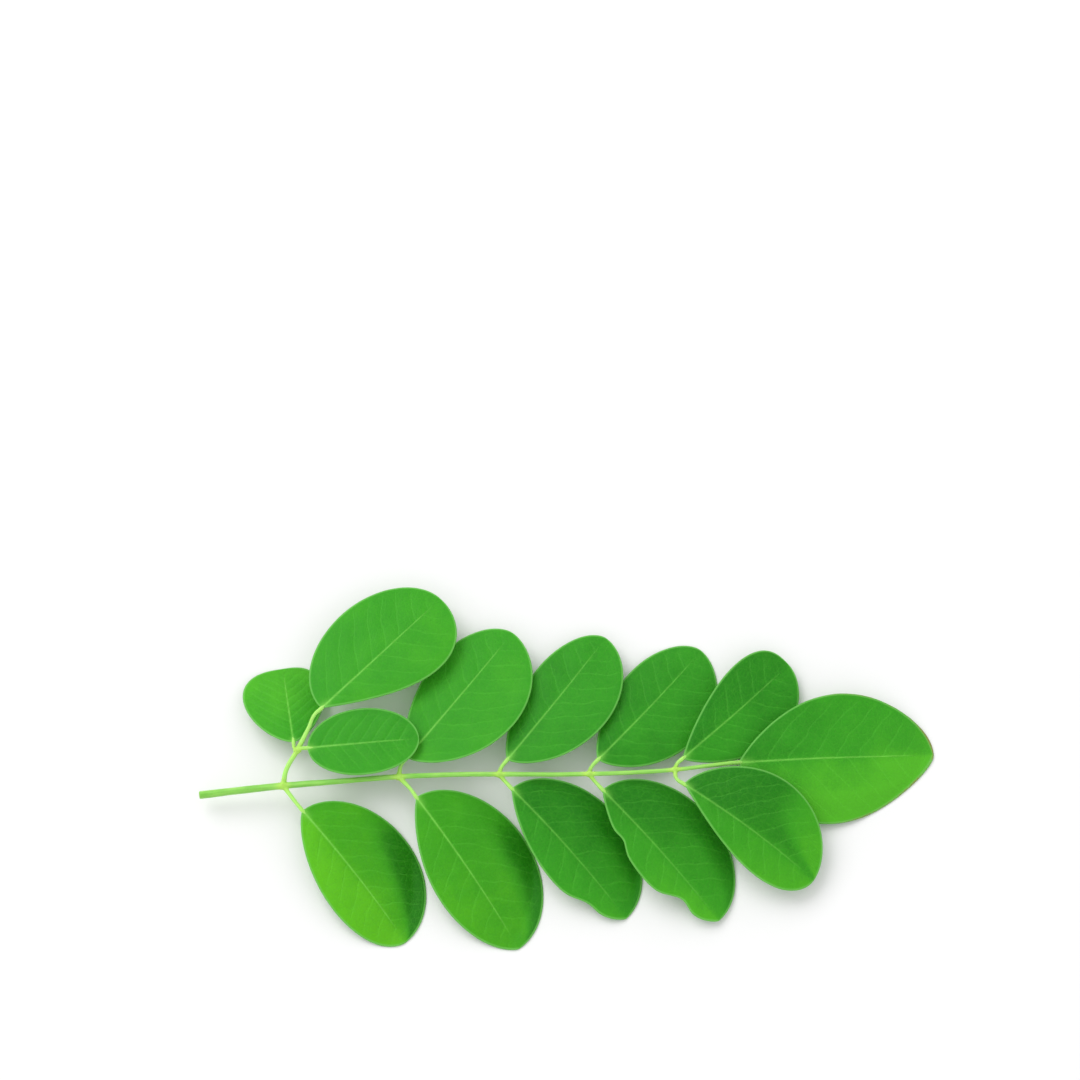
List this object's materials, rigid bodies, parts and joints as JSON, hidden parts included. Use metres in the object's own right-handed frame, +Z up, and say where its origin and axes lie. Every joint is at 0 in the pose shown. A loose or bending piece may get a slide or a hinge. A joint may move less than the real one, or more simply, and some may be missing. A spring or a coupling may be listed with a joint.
{
  "type": "moringa leaf sprig",
  "caption": "Cut compound leaf sprig lying flat: a thin jointed stem with paired oval leaflets on short stalks, a forked first stalk and a pointed end leaflet.",
  "frame": {"origin": "middle of the bounding box seen from above, on the surface that the sprig lies on", "axes": "+X along the stem from its cut end to the end leaflet, +Y towards the upper row of leaflets, +Z up from the surface"},
  "size_m": [0.1002, 0.0502, 0.0063],
  "materials": {
    "leaf": "soft matt fresh leaf, paler midrib and margin",
    "stem": "smooth satin green stalk with pale joints"
  },
  "bodies": {
    "root": {"stem": "stem", "leaflet_lower_1": "leaf", "leaflet_lower_2": "leaf", "leaflet_lower_3": "leaf", "leaflet_lower_4": "leaf", "leaflet_lower_5": "leaf", "leaflet_upper_2": "leaf", "leaflet_upper_3": "leaf", "leaflet_upper_4": "leaf", "leaflet_upper_5": "leaf", "leaflet_fork_left": "leaf", "leaflet_fork_right": "leaf", "leaflet_fork_end": "leaf", "leaflet_end": "leaf"}
  },
  "joints": []
}
